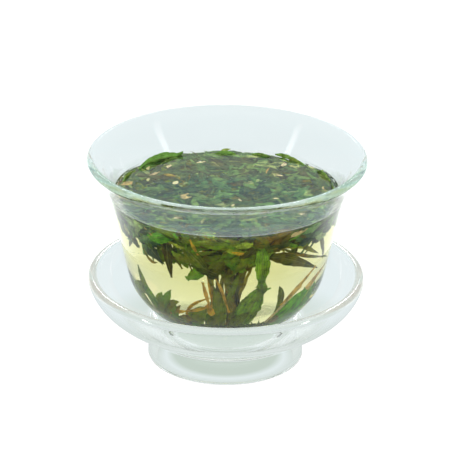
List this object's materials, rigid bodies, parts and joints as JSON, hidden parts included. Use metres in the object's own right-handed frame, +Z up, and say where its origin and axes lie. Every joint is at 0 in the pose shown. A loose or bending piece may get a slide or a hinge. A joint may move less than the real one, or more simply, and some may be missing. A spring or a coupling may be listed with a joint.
{
  "type": "gaiwan",
  "caption": "Clear glass gaiwan cup with a flared rim, filled with green tea and whole leaves, in a footed glass saucer; no lid.",
  "frame": {"origin": "centre of the saucer's foot, on the table it stands on", "axes": "+Z up along the axis of both glass pieces, -Y towards the front; the cup and the saucer are round, so front is only where the leaves are seen from"},
  "size_m": [0.098, 0.098, 0.0762],
  "materials": {
    "glass": "clear, polished",
    "tea": "clear pale yellow-green liquid",
    "leaf": "wet green leaf, satin",
    "stalk": "wet light brown stalk, satin"
  },
  "bodies": {
    "saucer": {"saucer": "glass"},
    "cup": {"cup": "glass", "tea_liquor": "tea", "floating_leaf_raft": "leaf", "sunken_leaf_bed": "leaf", "hanging_leaf_1": "leaf", "hanging_leaf_2": "leaf", "hanging_leaf_3": "leaf", "hanging_leaf_4": "leaf", "hanging_leaf_5": "leaf", "hanging_leaf_6": "leaf", "hanging_leaf_7": "leaf", "hanging_leaf_8": "leaf", "hanging_leaf_9": "leaf", "hanging_leaf_10": "leaf", "hanging_leaf_11": "leaf", "hanging_leaf_12": "leaf", "hanging_leaf_13": "leaf", "hanging_leaf_14": "leaf", "hanging_leaf_15": "leaf", "standing_leaf_1": "leaf", "standing_leaf_2": "leaf", "standing_leaf_3": "leaf", "standing_leaf_4": "leaf", "standing_leaf_5": "leaf", "standing_leaf_6": "leaf", "standing_leaf_7": "leaf", "standing_leaf_8": "leaf", "standing_leaf_9": "leaf", "standing_leaf_10": "leaf", "standing_leaf_11": "leaf", "standing_leaf_12": "leaf", "standing_leaf_13": "leaf", "standing_leaf_14": "leaf", "standing_leaf_15": "leaf", "standing_leaf_16": "leaf", "stalk_1": "stalk", "stalk_2": "stalk", "stalk_3": "stalk", "stalk_4": "stalk"}
  },
  "joints": [
    {"name": "cup_lift", "type": "slide", "parent": "saucer", "child": "cup", "axis": [0, 0, 1], "range_m": [0, 0.035]}
  ]
}
